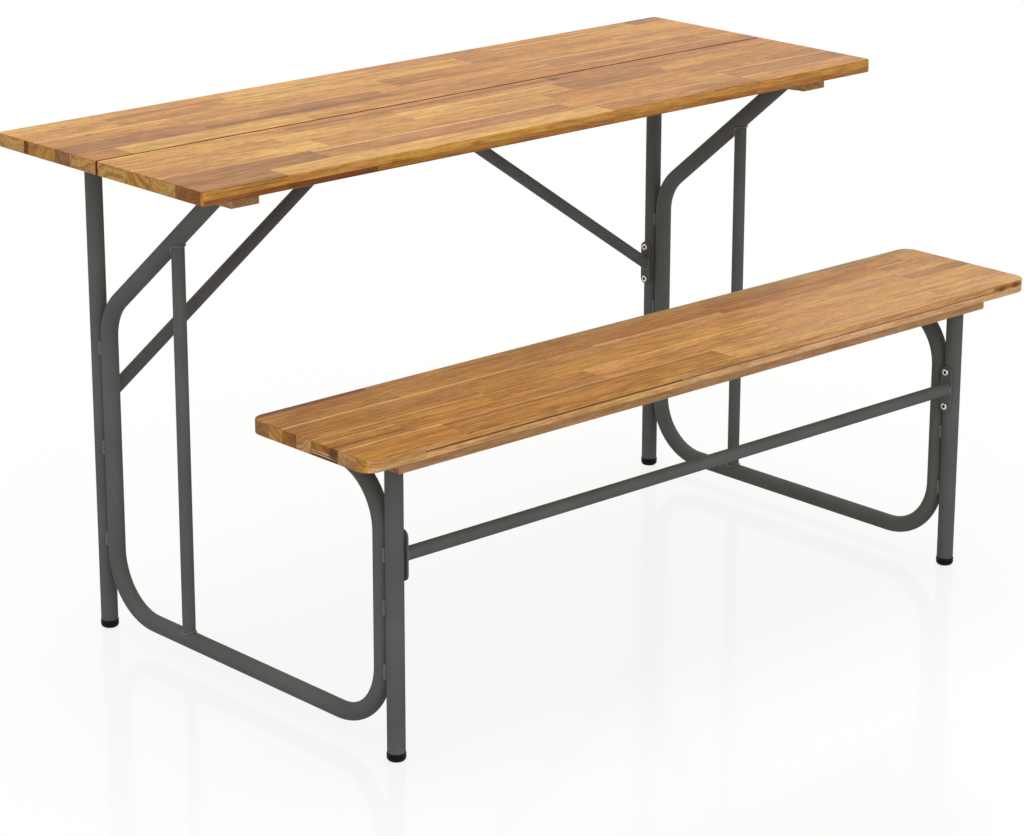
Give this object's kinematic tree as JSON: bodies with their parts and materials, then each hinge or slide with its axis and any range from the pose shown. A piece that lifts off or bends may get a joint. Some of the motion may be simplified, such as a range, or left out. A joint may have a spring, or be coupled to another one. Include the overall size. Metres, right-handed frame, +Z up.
{
  "type": "balcony_picnic_table",
  "caption": "Balcony picnic table: plank table top and narrow bench on two bent steel tube end frames with diagonal braces and a cross bar.",
  "frame": {"origin": "Middle of the bounding box in X and Y, on the floor under the feet.", "axes": "+X along the table, +Y from the bench towards the table, +Z up."},
  "size_m": [1.3, 0.806, 0.74],
  "materials": {
    "acacia_top": "edge-glued acacia lamellas, oiled satin",
    "acacia_bench": "edge-glued acacia lamellas, oiled satin",
    "acacia_batten": "planed acacia, oiled",
    "powder_coated_steel": "dark warm grey powder coat, satin",
    "black_plastic": "moulded black polyethylene",
    "nickel_bolt": "nickel plated socket head screws",
    "zinc_screw": "zinc plated wood screws"
  },
  "bodies": {
    "root": {"table_plank_rear": "acacia_top", "table_plank_front": "acacia_top", "seat_plank": "acacia_bench", "table_batten_left": "acacia_batten", "table_batten_right": "acacia_batten", "table_batten_middle": "acacia_batten", "bench_batten_front": "acacia_batten", "bench_batten_rear": "acacia_batten", "rear_leg_left": "powder_coated_steel", "rear_leg_right": "powder_coated_steel", "front_leg_left": "powder_coated_steel", "front_leg_right": "powder_coated_steel", "side_tube_left": "powder_coated_steel", "side_tube_right": "powder_coated_steel", "strut_left": "powder_coated_steel", "strut_right": "powder_coated_steel", "brace_left": "powder_coated_steel", "brace_right": "powder_coated_steel", "cross_bar": "powder_coated_steel", "brace_left_plate": "powder_coated_steel", "brace_right_plate": "powder_coated_steel", "bar_left_plate": "powder_coated_steel", "bar_right_plate": "powder_coated_steel", "brace_head_plate": "powder_coated_steel", "rear_leg_plate_left": "powder_coated_steel", "rear_leg_plate_right": "powder_coated_steel", "diagonal_plate_left": "powder_coated_steel", "diagonal_plate_right": "powder_coated_steel", "front_leg_plate_left": "powder_coated_steel", "front_leg_plate_right": "powder_coated_steel", "rear_foot_cap_left": "black_plastic", "rear_foot_cap_right": "black_plastic", "front_foot_cap_left": "black_plastic", "front_foot_cap_right": "black_plastic", "arm_plug_left": "black_plastic", "arm_plug_right": "black_plastic", "brace_left_bolt_1": "nickel_bolt", "brace_left_bolt_2": "nickel_bolt", "brace_right_bolt_1": "nickel_bolt", "brace_right_bolt_2": "nickel_bolt", "bar_left_bolt_1": "nickel_bolt", "bar_left_bolt_2": "nickel_bolt", "bar_right_bolt_1": "nickel_bolt", "bar_right_bolt_2": "nickel_bolt", "screw_rear_leg_left_1": "zinc_screw", "screw_rear_leg_left_2": "zinc_screw", "screw_rear_leg_right_1": "zinc_screw", "screw_rear_leg_right_2": "zinc_screw", "screw_diagonal_left_1": "zinc_screw", "screw_diagonal_left_2": "zinc_screw", "screw_diagonal_right_1": "zinc_screw", "screw_diagonal_right_2": "zinc_screw", "screw_front_leg_left_1": "zinc_screw", "screw_front_leg_left_2": "zinc_screw", "screw_front_leg_right_1": "zinc_screw", "screw_front_leg_right_2": "zinc_screw", "screw_arm_left": "zinc_screw", "screw_arm_right": "zinc_screw", "screw_head_plate_left": "zinc_screw", "screw_head_plate_right": "zinc_screw"}
  },
  "joints": []
}
